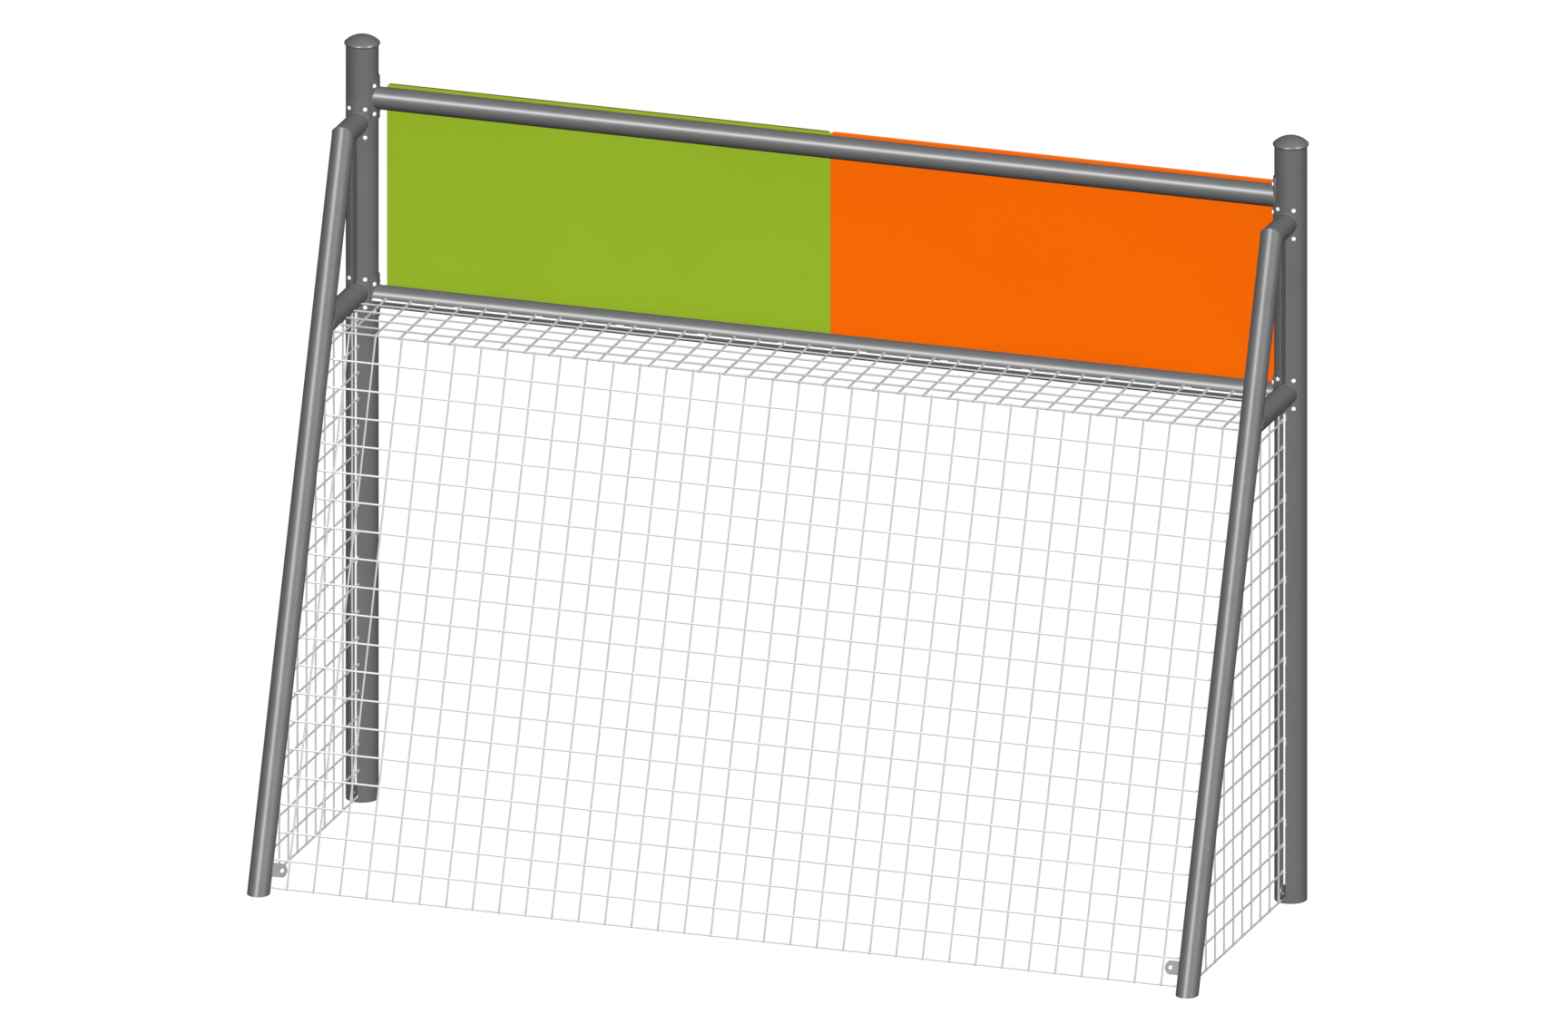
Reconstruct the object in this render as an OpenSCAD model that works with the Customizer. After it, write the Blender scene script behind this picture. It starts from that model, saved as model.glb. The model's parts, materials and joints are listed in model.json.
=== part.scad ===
// Fixed goal with a two-colour rebound board above the mouth and a rope net behind it.
// X runs along the crossbars, Y points from the net towards the pitch, Z is up.
// The origin is on the ground, at the centre of the outer dimensions.
// Positions below are counted from the plane of the posts and shifted together at the end.

/* [Posts] */
// Distance between the two post axes
post_span = 3770; // [3700:10:3840]
// Outside diameter of the post tube
post_d = 127; // [120:1:130]
// Wall of the post tube
post_wall = 4; // [3.5:0.5:5]
// Height of the post tube
post_h = 3053; // [3000:1:3100]
// Diameter of the rim of the post cap
cap_d = 139; // [136:1:142]
// Height of the post cap above the tube
cap_h = 39; // [34:1:42]

/* [Crossbars] */
// Outside diameter of the crossbars, struts and stubs
bar_d = 88.9; // [86:0.1:90]
// Wall of the crossbars, struts and stubs
bar_wall = 3.2; // [3:0.1:4]
// Height of the lower crossbar axis
lower_bar_z = 2040; // [2030:1:2050]
// Height of the upper crossbar axis
upper_bar_z = 2843; // [2833:1:2853]

/* [Side frames] */
// Lean of the struts from the vertical
lean = 20; // [19.5:0.1:20.5]
// Distance from the post plane back to the strut foot
strut_back = 1226.6; // [1200:1:1260]
// Height of the lower stub axis
lower_stub_z = 2064.5; // [2060:0.5:2066]
// Height of the upper stub axis
upper_stub_z = 2753; // [2745:1:2757]
// Thickness of the web plates
web_t = 5; // [4:0.5:6]
// Reach of the web plates behind the post surface
web_reach = 57.5; // [50:0.5:60]

/* [Saddle plates] */
// Height of a saddle plate
saddle_h = 166; // [160:1:170]
// Thickness of a saddle plate
saddle_t = 5; // [4:0.5:6]
// Arc of a saddle plate round the post
saddle_arc = 86; // [80:1:88]
// Corner radius of a saddle plate
saddle_r = 8; // [6:1:9]
// Half the vertical distance between bolts
bolt_dz = 56.8; // [55:0.1:60]
// Half the angle between bolts
bolt_arc = 28; // [26:1:30]

/* [Boards] */
// Width of one board
board_w = 1800; // [1790:1:1805]
// Height of the boards
board_h = 891; // [880:1:900]
// Thickness of the boards
board_t = 15; // [12:1:18]
// Height of the lower edge of the boards
board_z = 1996; // [1990:1:2000]
// Corner radius of the boards
board_r = 13; // [8:1:20]

/* [Net] */
// Rope diameter
rope_d = 7.5; // [6:0.5:7.5]
// Spacing of the back net's upright ropes
back_pitch = 107.535; // [107:0.005:108]
// Spacing of the ropes along the strut, and of the side nets' ropes
mesh = 107.5; // [107.5:0.1:107.6]
// Spacing of the roof net's ropes across the goal
roof_pitch = 101.2; // [101:0.1:101.4]
// Distance that the back net hangs in front of the strut axes
net_in = 6; // [4:1:7]
// Height of the lowest net rope
net_low_z = 24.4; // [24.4:0.1:25]

/* [Net rods] */
// Rod diameter
rod_d = 8; // [7:0.5:8]
// Space between rod and tube
rod_gap = 9.9; // [9.5:0.1:11]
// Spacing of the rod holders
holder_pitch = 329; // [329:1:330]

/* [Foot lugs] */
// Height of a lug
lug_h = 54; // [50:1:54]
// Thickness of a strut lug
strut_lug_t = 7; // [6:0.5:8]
// Thickness of a post lug
post_lug_t = 6; // [5:0.5:6]
// Diameter of the lug hole
lug_hole = 18; // [14:1:18]

/* [Hidden] */
$fn = 96;
half = post_span / 2;
pr = post_d / 2;
br = bar_d / 2;
sr = pr + saddle_t;              // outside radius of the saddle plates
rr = rope_d / 2;
lay = rr + 0.1;                  // ropes of the two directions lie side by side
row_off = lay + net_in * cos(lean);   // from the strut axes to the back net's ropes that run across
foot_back = strut_back + br / cos(lean);
post_y = (foot_back - cap_d / 2) / 2;   // puts the outer dimensions about Y = 0
elbow_y = -strut_back + upper_stub_z * tan(lean);
low_joint_y = -strut_back + lower_stub_z * tan(lean);
mitre = 45 + lean / 2;
stub_back = -low_joint_y;
web_y = -(pr + web_reach);
rod_y = -(pr + rod_gap + rod_d / 2);
rod_low = 84;
rod_top = 1988;
roof_rod_y = -(br + rod_gap + rod_d / 2);
roof_rod_z = 2042;
roof_rod_half = half - 60;
holder_z0 = 328;
holder_x0 = 1809.5;
roof_z = roof_rod_z + rod_d / 2 + rr + 0.1;
roof_line_z = roof_z - 2 * lay;
side_row_x = half - rod_d / 2 - rr - 0.1;   // side net ropes that run fore and aft
side_col_x = side_row_x + 2 * lay;          // side net ropes that run up
rows_back = 20;
rows_side = 18;
row_pitch = mesh * cos(lean);
eye_r = 5.8;                     // wire eyes: ring radius and wire radius
eye_w = 1.8;
eye_out = eye_r - 0.3;
eye_end = eye_r + eye_w + 0.1;
tie_r = 9.3;
tie_w = 1;
strut_lug_y = -1187;
eps = 1;

post_grey = [0.38, 0.38, 0.39];
bar_grey = [0.45, 0.45, 0.46];
strut_grey = [0.48, 0.48, 0.49];

function strut_y(z) = -strut_back + z * tan(lean);

// ---------- placing ----------

// everything is modelled for the right side, in post plane coordinates
module placed(side = 1) {
    translate([0, post_y, 0]) {
        if (side > 0) children();
        else mirror([1, 0, 0]) children();
    }
}

module both() {
    children();
    mirror([1, 0, 0]) children();
}

module x_rod(d, x1, x2, y, z) translate([x1, y, z]) rotate([0, 90, 0]) cylinder(d = d, h = x2 - x1);
module y_rod(d, x, y1, y2, z) translate([x, y1, z]) rotate([-90, 0, 0]) cylinder(d = d, h = y2 - y1);
module z_rod(d, x, y, z1, z2) translate([x, y, z1]) cylinder(d = d, h = z2 - z1);

// solid strut cylinder, for coping what meets it
module strut_core(d) translate([half, -strut_back, 0]) rotate([-lean, 0, 0])
    translate([0, 0, -200]) cylinder(d = d, h = 350 + upper_stub_z / cos(lean));

// one piece at each of the four bolts of a saddle plate; +Z points out of the post
module at_bolts(dir, zc) {
    for (s = [-1, 1], t = [-1, 1])
        translate([half, 0, zc + t * bolt_dz]) rotate([0, 0, dir + s * bolt_arc]) rotate([0, 90, 0]) children();
}

module at_side_bolts() {
    at_bolts(180, lower_bar_z) children();
    at_bolts(180, upper_bar_z) children();
    at_bolts(-90, lower_stub_z) children();
    at_bolts(-90, upper_stub_z) children();
}

// ---------- posts ----------

module post() {
    difference() {
        z_rod(post_d, half, 0, 0, post_h);
        z_rod(post_d - 2 * post_wall, half, 0, -eps, post_h + eps);
        at_side_bolts() translate([0, 0, pr - 15]) cylinder(d = 11.1, h = 30);
    }
}

// domed cap with a rounded rim; a plug ring holds it in the tube
module post_cap() {
    rim = 6.5;                       // radius of the rounded rim
    rim_r = cap_d / 2 - rim;
    rise = cap_h - 2 * rim;
    drop = (rim_r * rim_r - rise * rise) / (2 * rise);   // from the rim's middle down to the dome's centre
    dome = cap_h - rim + drop;
    edge = atan2(rim_r, drop);       // where the dome runs smoothly into the rim
    inner = dome - 3;
    plug_r = pr - post_wall - 0.1;
    translate([half, 0, post_h]) rotate_extrude()
        polygon(concat(
            [for (i = [0:24]) let (a = edge * i / 24) [dome * sin(a), rim - drop + dome * cos(a)]],
            [for (i = [1:12]) let (a = 90 - edge - (180 - edge) * i / 12) [rim_r + rim * cos(a), rim + rim * sin(a)]],
            [[plug_r, 0], [plug_r - 0.6, -26], [plug_r - 3.4, -26], [plug_r - 3.4, 2 * rim]],
            [for (i = [0:16]) let (a = asin((plug_r - 3.4) / inner) * (1 - i / 16)) [inner * sin(a), rim - drop + inner * cos(a)]]
        ));
}

// ---------- crossbars ----------

board_bolt_x = [60, 480, 900, 1320, 1740];

module at_board_bolts(zc) {
    for (x = board_bolt_x) both() translate([x, 0, zc]) rotate([-90, 0, 0]) children();
}

module crossbar(zc) {
    difference() {
        x_rod(bar_d, -half, half, 0, zc);
        x_rod(bar_d - 2 * bar_wall, -half - eps, half + eps, 0, zc);
        both() z_rod(2 * sr, half, 0, zc - 100, zc + 100);
        at_board_bolts(zc) translate([0, 0, br - 12]) cylinder(d = 11.1, h = 24);
    }
}

// what a rounded corner takes off a curved plate; +Z points out of the post
module corner_cut(s, t) difference() {
    translate([t > 0 ? -saddle_r - 5 : 0, s > 0 ? 0 : -saddle_r - 5, pr - 20]) cube([saddle_r + 5, saddle_r + 5, 40]);
    translate([0, 0, pr - 21]) cylinder(r = saddle_r + 0.5, h = 42);
}

// curved plate bent to the post, its middle facing dir
module saddle(dir, zc) {
    corner = saddle_arc / 2 - asin(saddle_r / sr);
    difference() {
        translate([half, 0, zc - saddle_h / 2]) rotate([0, 0, dir - saddle_arc / 2])
            rotate_extrude(angle = saddle_arc) translate([pr, 0]) square([saddle_t, saddle_h]);
        at_bolts(dir, zc) translate([0, 0, pr - 20]) cylinder(d = 8.6, h = 40);
        for (s = [-1, 1], t = [-1, 1])
            translate([half, 0, zc + t * (saddle_h / 2 - saddle_r)]) rotate([0, 0, dir + s * corner]) rotate([0, 90, 0]) corner_cut(s, t);
    }
}

// ---------- side frames ----------

module mitre_half(up) translate([half, elbow_y, upper_stub_z]) rotate([-mitre, 0, 0])
    translate([-300, -300, up ? 0 : -600]) cube([600, 600, 600]);

module strut() {
    difference() {
        strut_core(bar_d);
        strut_core(bar_d - 2 * bar_wall);
        translate([half - 200, -strut_back - 400, -400]) cube([400, 800, 400]);
        mitre_half(true);
    }
}

module upper_stub() {
    difference() {
        y_rod(bar_d, half, elbow_y - 120, 0, upper_stub_z);
        y_rod(bar_d - 2 * bar_wall, half, elbow_y - 140, eps, upper_stub_z);
        z_rod(2 * sr, half, 0, upper_stub_z - 100, upper_stub_z + 100);
        mitre_half(false);
    }
}

module lower_stub() {
    difference() {
        y_rod(bar_d, half, low_joint_y, 0, lower_stub_z);
        y_rod(bar_d - 2 * bar_wall, half, low_joint_y - eps, eps, lower_stub_z);
        z_rod(2 * sr, half, 0, lower_stub_z - 100, lower_stub_z + 100);
        strut_core(bar_d + 0.6);
    }
}

module web_plate() {
    difference() {
        translate([half - web_t / 2, web_y, lower_stub_z]) cube([web_t, -web_y, upper_stub_z - lower_stub_z]);
        y_rod(bar_d, half, web_y - eps, eps, upper_stub_z);
        y_rod(bar_d, half, web_y - eps, eps, lower_stub_z);
        z_rod(post_d, half, 0, lower_stub_z - 10, upper_stub_z + 10);
        for (zc = [lower_stub_z, upper_stub_z])
            z_rod(2 * sr + 0.6, half, 0, zc - saddle_h / 2 - 1, zc + saddle_h / 2 + 1);
    }
}

// ---------- saddle fasteners ----------

module saddle_bolt() translate([0, 0, sr]) {
    translate([0, 0, -18]) cylinder(d = 7.9, h = 18.5);
    difference() {
        union() {
            cylinder(d = 14, h = 2);
            translate([0, 0, 1.9]) cylinder(d = 11.5, h = 1.8);
        }
        translate([0, 0, 1.4]) cylinder(d = 5.7, h = 5, $fn = 6);
    }
}

module saddle_cover() translate([0, 0, sr]) rotate_extrude()
    polygon(concat(
        [[7.1, 0], [8.4, 0], [8.4, 1.2]],
        [for (i = [1:8]) let (a = 90 * i / 8) [8.4 * cos(a), 1.2 + 4 * sin(a)]],
        [[0, 3.8], [6, 3.8], [7.1, 2.4]]
    ));

module rivet_nut(r, wall) translate([0, 0, r]) difference() {
    union() {
        translate([0, 0, -16]) cylinder(d = 11, h = 16);
        translate([0, 0, -wall - 3.6]) cylinder(d = 14.5, h = 3.1);
    }
    translate([0, 0, -17]) cylinder(d = 8, h = 20);
}

// ---------- boards ----------

module board() {
    x0 = 0.5;
    w = board_w - x0;
    y0 = br + 0.05;
    difference() {
        union() {
            translate([x0, y0, board_z + board_r]) cube([w, board_t, board_h - 2 * board_r]);
            translate([x0 + board_r, y0, board_z]) cube([w - 2 * board_r, board_t, board_h]);
            for (x = [x0 + board_r, x0 + w - board_r], z = [board_z + board_r, board_z + board_h - board_r])
                translate([x, y0, z]) rotate([-90, 0, 0]) cylinder(r = board_r, h = board_t);
        }
        for (x = board_bolt_x, z = [lower_bar_z, upper_bar_z])
            translate([x, 0, z]) rotate([-90, 0, 0]) cylinder(d = 9, h = 200);
    }
}

board_face = br + 0.05 + board_t;

module board_bolt() translate([0, 0, board_face + 1.6]) {
    translate([0, 0, -1.6 - board_t - 14]) cylinder(d = 7.9, h = 1.6 + board_t + 14.5);
    difference() {
        rotate_extrude() polygon(concat([[0, 0], [7, 0]], [for (i = [0:8]) let (a = 90 * i / 8) [7 * cos(a), 0.6 + 3.8 * sin(a)]]));
        translate([0, 0, 2]) cylinder(d = 5.7, h = 5, $fn = 6);
    }
}

module board_washer() translate([0, 0, board_face]) difference() {
    cylinder(d = 22, h = 1.6);
    translate([0, 0, -1]) cylinder(d = 8.4, h = 4);
}

// ---------- net rods ----------

module side_rod() z_rod(rod_d, half, rod_y, rod_low, rod_top);

module side_holders() for (k = [0:5]) difference() {
    translate([half - 3, rod_y, holder_z0 + k * holder_pitch - 15]) cube([6, -rod_y - pr + 2, 30]);
    z_rod(rod_d, half, rod_y, 0, 2100);
    z_rod(post_d, half, 0, 0, 2100);
    z_rod(2 * sr, half, 0, lower_stub_z - saddle_h / 2, 2100);   // the top one laps over the saddle plate's lower end
}

module roof_rod() x_rod(rod_d, -roof_rod_half, roof_rod_half, roof_rod_y, roof_rod_z);

module roof_holders() for (k = [0:11]) difference() {
    translate([-holder_x0 + k * holder_pitch - 15, roof_rod_y, roof_rod_z - 3]) cube([30, -roof_rod_y - br + 2, 6]);
    x_rod(rod_d, -half, half, roof_rod_y, roof_rod_z);
    x_rod(bar_d, -half, half, 0, lower_bar_z);
}

// ---------- foot lugs ----------

// lug outline in XY, growing along +X from its root, thickness along Z
module lug(root, reach, hole_at, t) difference() {
    intersection() {
        translate([-root, -lug_h / 2, -t / 2]) cube([root + reach, lug_h, t]);
        union() {
            translate([-root - 1, -lug_h, -t]) cube([root + 1 + reach - 30.5, 2 * lug_h, 2 * t]);
            translate([reach - 30.5, 0, -t]) cylinder(r = 30.5, h = 2 * t);
        }
    }
    translate([hole_at, 0, -t]) cylinder(d = lug_hole, h = 2 * t);
}

// leans with the strut
module strut_lug() difference() {
    translate([half - br, strut_lug_y, 90]) rotate([-lean, 0, 0]) rotate([0, 0, 180]) rotate([90, 0, 0]) lug(20, 58, 37.2, strut_lug_t);
    strut_core(bar_d);
}

module post_lug() difference() {
    translate([half, -pr, 56]) rotate([0, 0, -90]) rotate([90, 0, 0]) lug(20, 58, 37.2, post_lug_t);
    z_rod(post_d, half, 0, -eps, 200);
}

// ---------- nets ----------

// a point in the leaning plane of the back net: x, height, offset outwards
module on_back(x, z, out) translate([x, strut_y(z) + net_in - out * cos(lean), z + out * sin(lean)]) children();

module back_ropes() {
    row_half = half - sqrt(br * br - row_off * row_off) - eye_out - eye_end;
    len = (rows_back * row_pitch) / cos(lean);
    for (j = [0:rows_back])
        on_back(-row_half, net_low_z + 0.8 + j * row_pitch, -lay) rotate([0, 90, 0]) cylinder(d = rope_d, h = 2 * row_half);
    for (k = [0:16]) both()
        on_back((k + 0.5) * back_pitch, net_low_z + 0.8, lay) rotate([-lean, 0, 0]) translate([0, 0, -rr]) cylinder(d = rope_d, h = len + rope_d);
}

roof_back_y = strut_y(net_low_z + 0.8 + rows_back * row_pitch) + net_in + lay * cos(lean) + rr + 0.1;
roof_lines = [-397.9, -308.8, -219.7, -130.6];
roof_line_half = half - sqrt(br * br - pow(lower_stub_z - roof_line_z, 2)) - eye_out - eye_end;

module roof_ropes() {
    for (k = [0:17]) both() y_rod(rope_d, (k + 0.5) * roof_pitch, roof_back_y, -50, roof_z);
    for (y = roof_lines) x_rod(rope_d, -roof_line_half, roof_line_half, y, roof_line_z);
}

function col_y(k) = -131.9 - mesh * k;
// columns end under the lower stub, or on the strut where it comes first
function col_on_stub(k) = k < 3;
function col_eye_z(k) = col_on_stub(k)
    ? lower_stub_z - br - eye_out
    : (col_y(k) - eye_out * cos(lean) - br / cos(lean) + strut_back) / tan(lean) - eye_out * sin(lean);
function row_z(j) = net_low_z + j * mesh;
function row_eye_y(j) = strut_y(row_z(j)) + sqrt(br * br - pow(half - side_row_x, 2)) / cos(lean) + eye_out;
post_eye_y = -(sqrt(pr * pr - pow(half - side_row_x, 2)) + eye_out);

module side_ropes() {
    y_rod(rope_d, side_row_x, row_eye_y(0) + eye_end, post_eye_y - eye_end, row_z(0));
    for (j = [1:rows_side]) y_rod(rope_d, side_row_x, row_eye_y(j) + eye_end, -65, row_z(j));
    for (k = [0:9]) z_rod(rope_d, side_col_x, col_y(k), row_z(0) - rr, col_eye_z(k) - eye_end);
}

// ---------- eyes and ties ----------

module ring(turn) rotate(turn) rotate_extrude() translate([eye_r, 0]) circle(r = eye_w, $fn = 32);

module strut_eyes() difference() {
    union() {
        for (j = [0:rows_back]) on_back(half - sqrt(br * br - row_off * row_off) - eye_out, net_low_z + 0.8 + j * row_pitch, -lay) ring([-lean, 0, 0]);
        for (j = [0:rows_side]) translate([side_row_x, row_eye_y(j), row_z(j)]) ring([0, 90, 0]);
        for (k = [3:9]) translate([side_col_x, col_y(k), col_eye_z(k)]) ring([0, 90, 0]);
    }
    strut_core(bar_d);
    y_rod(bar_d, half, low_joint_y, 0, lower_stub_z);
}

module stub_eyes() difference() {
    union() {
        for (k = [0:2]) translate([side_col_x, col_y(k), col_eye_z(k)]) ring([0, 90, 0]);
        for (y = roof_lines) translate([roof_line_half + eye_end, y, roof_line_z]) ring([0, 0, 0]);
    }
    y_rod(bar_d, half, low_joint_y - 60, 0, lower_stub_z);
}

module post_eye() difference() {
    translate([side_row_x, post_eye_y, row_z(0)]) ring([0, 90, 0]);
    z_rod(post_d, half, 0, -eps, 200);
}

// open wire ring, three quarters of a turn
module tie() rotate_extrude(angle = 270) translate([tie_r, 0]) circle(r = tie_w, $fn = 24);

module side_ties() for (j = [1:rows_side])
    translate([(side_row_x + half) / 2, rod_y, row_z(j)]) rotate([45, 0, 0]) rotate([0, 0, 110]) tie();

module roof_ties() for (k = [0:17]) both()
    translate([(k + 0.5) * roof_pitch, roof_rod_y, (roof_z + roof_rod_z) / 2]) rotate([0, 0, 45]) rotate([90, 0, 0]) rotate([0, 0, 5]) tie();

// ---------- nodes ----------

module left_post() color(post_grey) placed(-1) post();
module right_post() color(post_grey) placed(1) post();
module left_post_cap() color(post_grey) placed(-1) post_cap();
module right_post_cap() color(post_grey) placed(1) post_cap();
module upper_crossbar() color(bar_grey) placed() crossbar(upper_bar_z);
module lower_crossbar() color(bar_grey) placed() crossbar(lower_bar_z);
module upper_left_bar_saddle() color(post_grey) placed(-1) saddle(180, upper_bar_z);
module upper_right_bar_saddle() color(post_grey) placed(1) saddle(180, upper_bar_z);
module lower_left_bar_saddle() color(post_grey) placed(-1) saddle(180, lower_bar_z);
module lower_right_bar_saddle() color(post_grey) placed(1) saddle(180, lower_bar_z);
module left_strut() color(strut_grey) placed(-1) strut();
module right_strut() color(strut_grey) placed(1) strut();
module upper_left_stub() color(strut_grey) placed(-1) upper_stub();
module upper_right_stub() color(strut_grey) placed(1) upper_stub();
module lower_left_stub() color(strut_grey) placed(-1) lower_stub();
module lower_right_stub() color(strut_grey) placed(1) lower_stub();
module upper_left_stub_saddle() color(post_grey) placed(-1) saddle(-90, upper_stub_z);
module upper_right_stub_saddle() color(post_grey) placed(1) saddle(-90, upper_stub_z);
module lower_left_stub_saddle() color(post_grey) placed(-1) saddle(-90, lower_stub_z);
module lower_right_stub_saddle() color(post_grey) placed(1) saddle(-90, lower_stub_z);
module left_web_plate() color(post_grey) placed(-1) web_plate();
module right_web_plate() color(post_grey) placed(1) web_plate();
module saddle_bolts() color("silver") placed() both() at_side_bolts() saddle_bolt();
module saddle_bolt_covers() color("white") placed() both() at_side_bolts() saddle_cover();
module saddle_rivet_nuts() color("silver") placed() both() at_side_bolts() rivet_nut(pr - 0.3, post_wall);
module green_board() color([0.58, 0.69, 0.17]) placed(-1) board();
module orange_board() color([0.95, 0.41, 0]) placed(1) board();
module board_bolts() color("silver") placed() for (z = [lower_bar_z, upper_bar_z]) at_board_bolts(z) board_bolt();
module board_washers() color("silver") placed() for (z = [lower_bar_z, upper_bar_z]) at_board_bolts(z) board_washer();
module board_rivet_nuts() color("silver") placed() for (z = [lower_bar_z, upper_bar_z]) at_board_bolts(z) rivet_nut(br - 0.4, bar_wall);
module left_net_rod() color("white") placed(-1) side_rod();
module right_net_rod() color("white") placed(1) side_rod();
module roof_net_rod() color("white") placed() roof_rod();
module left_rod_holders() color("white") placed(-1) side_holders();
module right_rod_holders() color("white") placed(1) side_holders();
module roof_rod_holders() color("white") placed() roof_holders();
module left_strut_lug() color(strut_grey) placed(-1) strut_lug();
module right_strut_lug() color(strut_grey) placed(1) strut_lug();
module left_post_lug() color(post_grey) placed(-1) post_lug();
module right_post_lug() color(post_grey) placed(1) post_lug();
module back_net() color("lightgrey") placed() back_ropes();
module roof_net() color("lightgrey") placed() roof_ropes();
module left_net() color("lightgrey") placed(-1) side_ropes();
module right_net() color("lightgrey") placed(1) side_ropes();
module left_strut_eyes() color("silver") placed(-1) strut_eyes();
module right_strut_eyes() color("silver") placed(1) strut_eyes();
module left_stub_eyes() color("silver") placed(-1) stub_eyes();
module right_stub_eyes() color("silver") placed(1) stub_eyes();
module left_post_eye() color("silver") placed(-1) post_eye();
module right_post_eye() color("silver") placed(1) post_eye();
module left_net_ties() color("silver") placed(-1) side_ties();
module right_net_ties() color("silver") placed(1) side_ties();
module roof_net_ties() color("silver") placed() roof_ties();

left_post();
right_post();
left_post_cap();
right_post_cap();
upper_crossbar();
lower_crossbar();
upper_left_bar_saddle();
upper_right_bar_saddle();
lower_left_bar_saddle();
lower_right_bar_saddle();
left_strut();
right_strut();
upper_left_stub();
upper_right_stub();
lower_left_stub();
lower_right_stub();
upper_left_stub_saddle();
upper_right_stub_saddle();
lower_left_stub_saddle();
lower_right_stub_saddle();
left_web_plate();
right_web_plate();
saddle_bolts();
saddle_bolt_covers();
saddle_rivet_nuts();
green_board();
orange_board();
board_bolts();
board_washers();
board_rivet_nuts();
left_net_rod();
right_net_rod();
roof_net_rod();
left_rod_holders();
right_rod_holders();
roof_rod_holders();
left_strut_lug();
right_strut_lug();
left_post_lug();
right_post_lug();
back_net();
roof_net();
left_net();
right_net();
left_strut_eyes();
right_strut_eyes();
left_stub_eyes();
right_stub_eyes();
left_post_eye();
right_post_eye();
left_net_ties();
right_net_ties();
roof_net_ties();
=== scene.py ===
"""Looks of the fixed goal with a two-colour rebound board and a rope net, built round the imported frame."""
import json
import math
import random

import bmesh
import bpy
import numpy as np
from mathutils import Matrix, Vector

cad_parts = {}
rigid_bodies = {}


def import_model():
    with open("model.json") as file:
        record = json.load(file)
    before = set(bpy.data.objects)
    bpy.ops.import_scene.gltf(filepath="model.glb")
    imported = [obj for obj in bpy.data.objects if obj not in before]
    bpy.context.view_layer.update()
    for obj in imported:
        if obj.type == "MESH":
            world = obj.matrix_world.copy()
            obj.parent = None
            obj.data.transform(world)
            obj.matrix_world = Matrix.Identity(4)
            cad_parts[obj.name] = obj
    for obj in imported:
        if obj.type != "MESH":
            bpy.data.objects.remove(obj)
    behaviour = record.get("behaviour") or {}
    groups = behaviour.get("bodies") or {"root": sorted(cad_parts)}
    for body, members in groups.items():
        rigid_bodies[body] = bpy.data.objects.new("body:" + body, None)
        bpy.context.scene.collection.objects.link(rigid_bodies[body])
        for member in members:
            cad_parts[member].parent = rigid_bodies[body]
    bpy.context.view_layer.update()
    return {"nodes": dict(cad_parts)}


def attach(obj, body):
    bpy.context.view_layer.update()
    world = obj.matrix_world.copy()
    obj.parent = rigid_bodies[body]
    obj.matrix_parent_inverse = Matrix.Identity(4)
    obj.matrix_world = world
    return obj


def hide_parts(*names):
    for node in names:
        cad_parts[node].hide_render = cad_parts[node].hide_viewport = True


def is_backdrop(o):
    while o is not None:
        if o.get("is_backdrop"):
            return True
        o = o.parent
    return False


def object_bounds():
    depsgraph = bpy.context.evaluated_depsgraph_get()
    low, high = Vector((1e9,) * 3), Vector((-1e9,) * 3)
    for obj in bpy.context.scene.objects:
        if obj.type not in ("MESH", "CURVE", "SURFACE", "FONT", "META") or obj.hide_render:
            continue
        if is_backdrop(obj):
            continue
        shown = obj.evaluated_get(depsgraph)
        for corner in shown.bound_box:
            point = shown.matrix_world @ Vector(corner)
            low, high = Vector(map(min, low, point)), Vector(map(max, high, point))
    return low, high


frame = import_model()
nodes = frame["nodes"]
rng = random.Random(7)

# ---------- sizes, in metres, the same as in part.scad ----------

MM = 0.001
LEAN = math.radians(20)
HALF = 1.885
PR, PWALL = 0.0635, 0.004
BR = 0.04445
SR = 0.0685
STRUT_BACK = 1.2266
FOOT_BACK = STRUT_BACK + BR / math.cos(LEAN)
PY = (FOOT_BACK - 0.0695) / 2          # row frame y of the post plane
LOW_BAR, UP_BAR = 2.040, 2.843
LOW_STUB, UP_STUB = 2.0645, 2.753
ELBOW_Y = -STRUT_BACK + UP_STUB * math.tan(LEAN)
LOW_JOINT_Y = -STRUT_BACK + LOW_STUB * math.tan(LEAN)
MITRE = math.radians(55)
WEB_T, WEB_Y = 0.005, -(PR + 0.0575)
ROPE_R = 0.00375
ROPE_LOOK = 0.0040                     # over the strands' crowns, a little prouder than the plain CAD rope
LAY = ROPE_R + 0.0001
MESH = 0.1075
BACK_PITCH = 0.107535
ROOF_PITCH = 0.1012
NET_LOW = 0.0244
ROW_PITCH = MESH * math.cos(LEAN)
ROWS_BACK, ROWS_SIDE = 20, 18
EYE_R, EYE_W = 0.0058, 0.0018
EYE_OUT = EYE_R - 0.0003
EYE_END = EYE_R + EYE_W + 0.0001
ROD_Y, ROD_R = -0.0774, 0.004
ROOF_ROD_Y, ROOF_ROD_Z = -0.05835, 2.042
ROOF_Z = ROOF_ROD_Z + ROD_R + ROPE_R + 0.0001
ROOF_LINES = (-0.3979, -0.3088, -0.2197, -0.1306)
NET_IN = 0.006                         # the back net hangs this far in front of the strut axes
SIDE_ROW_X = HALF - ROD_R - ROPE_R - 0.0001
SIDE_COL_X = SIDE_ROW_X + 2 * LAY
TIE_R, TIE_W = 0.0093, 0.0009

X, Y, Z = Vector((1, 0, 0)), Vector((0, 1, 0)), Vector((0, 0, 1))
UP_STRUT = Vector((0, math.sin(LEAN), math.cos(LEAN)))      # along the struts, upwards
OUT_BACK = Vector((0, -math.cos(LEAN), math.sin(LEAN)))     # square to the back net, outwards


def strut_y(z):
    return -STRUT_BACK + z * math.tan(LEAN)


def row(x, y, z, side=1):
    """A point given from the post plane, in the row frame."""
    return Vector((x * side, y + PY, z))


# ---------- materials ----------

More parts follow.
